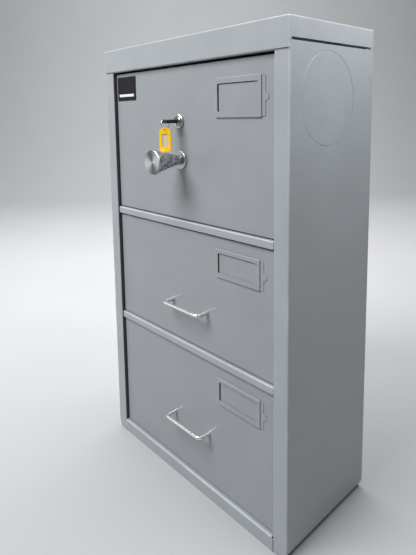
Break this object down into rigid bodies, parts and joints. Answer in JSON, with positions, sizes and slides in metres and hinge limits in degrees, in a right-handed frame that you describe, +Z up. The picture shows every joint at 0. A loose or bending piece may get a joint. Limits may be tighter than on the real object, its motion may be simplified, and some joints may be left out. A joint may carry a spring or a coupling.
{
  "type": "three-drawer security cabinet",
  "caption": "Steel security cabinet with a key-locked, knob-bolted top drawer, two drawers with bar pulls, label frames and a folded cap.",
  "frame": {"origin": "middle of the footprint, on the floor", "axes": "+Z up; -Y is the front, where the drawers open; +X is to the right seen from the front"},
  "size_m": [0.554, 0.3494, 1],
  "materials": {
    "body_paint": "semi-gloss grey powder coat",
    "front_paint": "semi-gloss grey powder coat",
    "inner_paint": "satin grey paint",
    "zinc_steel": "zinc-plated pressed steel",
    "bright_steel": "bright nickel-plated steel",
    "cast_knob": "cast body with a spun bright face",
    "lock_brass": "machined brass",
    "key_plastic": "moulded black plastic",
    "tag_plastic": "moulded yellow plastic",
    "tag_card": "cream card behind a clear cover",
    "badge_black": "plain black label"
  },
  "bodies": {
    "cabinet": {"body_shell": "body_paint", "back_panel": "body_paint", "top_cap": "body_paint", "plinth": "body_paint", "side_cover": "body_paint", "upper_rail": "body_paint", "lower_rail": "body_paint", "dividing_plate": "inner_paint", "strike_plate_left": "zinc_steel", "strike_plate_right": "zinc_steel", "top_fixed_runner_left": "zinc_steel", "top_fixed_runner_right": "zinc_steel", "middle_fixed_runner_left": "zinc_steel", "middle_fixed_runner_right": "zinc_steel", "bottom_fixed_runner_left": "zinc_steel", "bottom_fixed_runner_right": "zinc_steel"},
    "top_drawer": {"top_front": "front_paint", "top_tray": "inner_paint", "top_drawer_runner_left": "zinc_steel", "top_drawer_runner_right": "zinc_steel", "top_label_frame": "front_paint", "badge": "badge_black", "lock_rosette": "bright_steel", "lock_housing": "bright_steel", "lock_nut": "lock_brass", "knob_rosette": "bright_steel", "bolt_guide_left": "zinc_steel", "bolt_guide_right": "zinc_steel"},
    "top_insert": {"top_label_insert": "front_paint"},
    "middle_drawer": {"middle_front": "front_paint", "middle_tray": "inner_paint", "middle_drawer_runner_left": "zinc_steel", "middle_drawer_runner_right": "zinc_steel", "middle_label_frame": "front_paint", "middle_pull": "bright_steel", "middle_pull_screw_left": "zinc_steel", "middle_pull_screw_right": "zinc_steel"},
    "middle_insert": {"middle_label_insert": "front_paint"},
    "bottom_drawer": {"bottom_front": "front_paint", "bottom_tray": "inner_paint", "bottom_drawer_runner_left": "zinc_steel", "bottom_drawer_runner_right": "zinc_steel", "bottom_label_frame": "front_paint", "bottom_pull": "bright_steel", "bottom_pull_screw_left": "zinc_steel", "bottom_pull_screw_right": "zinc_steel"},
    "bottom_insert": {"bottom_label_insert": "front_paint"},
    "turning_knob": {"knob": "cast_knob", "knob_spindle": "zinc_steel", "bolt_cam": "zinc_steel"},
    "left_bolt": {"lock_bolt_left": "zinc_steel"},
    "right_bolt": {"lock_bolt_right": "zinc_steel"},
    "lock_core": {"lock_plug": "lock_brass", "lock_tongue": "zinc_steel", "key_blade": "bright_steel", "key_bow": "key_plastic"},
    "hanging_tag": {"key_ring": "bright_steel", "key_tag": "tag_plastic", "tag_card": "tag_card"}
  },
  "joints": [
    {"name": "top_drawer_slide", "type": "slide", "parent": "cabinet", "child": "top_drawer", "axis": [0, -1, 0], "range_m": [0, 0.17]},
    {"name": "middle_drawer_slide", "type": "slide", "parent": "cabinet", "child": "middle_drawer", "axis": [0, -1, 0], "range_m": [0, 0.17]},
    {"name": "bottom_drawer_slide", "type": "slide", "parent": "cabinet", "child": "bottom_drawer", "axis": [0, -1, 0], "range_m": [0, 0.17]},
    {"name": "knob_turn", "type": "hinge", "parent": "top_drawer", "child": "turning_knob", "pos_m": [-0.008, -0.131, 0.746], "axis": [0, 1, 0], "range_deg": [0, 90]},
    {"name": "left_bolt_slide", "type": "slide", "parent": "top_drawer", "child": "left_bolt", "axis": [-1, 0, 0], "range_m": [0, 0.014]},
    {"name": "right_bolt_slide", "type": "slide", "parent": "top_drawer", "child": "right_bolt", "axis": [1, 0, 0], "range_m": [0, 0.014]},
    {"name": "key_turn", "type": "hinge", "parent": "top_drawer", "child": "lock_core", "pos_m": [-0.0105, -0.131, 0.828], "axis": [0, 1, 0], "range_deg": [0, 90]},
    {"name": "tag_swing", "type": "hinge", "parent": "lock_core", "child": "hanging_tag", "pos_m": [-0.0105, -0.1709, 0.83291], "axis": [0, 1, 0], "range_deg": [-30, 30]},
    {"name": "top_insert_slide", "type": "slide", "parent": "top_drawer", "child": "top_insert", "axis": [1, 0, 0], "range_m": [0, 0.015]},
    {"name": "middle_insert_slide", "type": "slide", "parent": "middle_drawer", "child": "middle_insert", "axis": [1, 0, 0], "range_m": [0, 0.015]},
    {"name": "bottom_insert_slide", "type": "slide", "parent": "bottom_drawer", "child": "bottom_insert", "axis": [1, 0, 0], "range_m": [0, 0.015]}
  ],
  "couplings": [
    {"joint": "left_bolt_slide", "follows": "knob_turn", "m_per_rad": 0.0089127},
    {"joint": "right_bolt_slide", "follows": "knob_turn", "m_per_rad": 0.0089127}
  ]
}
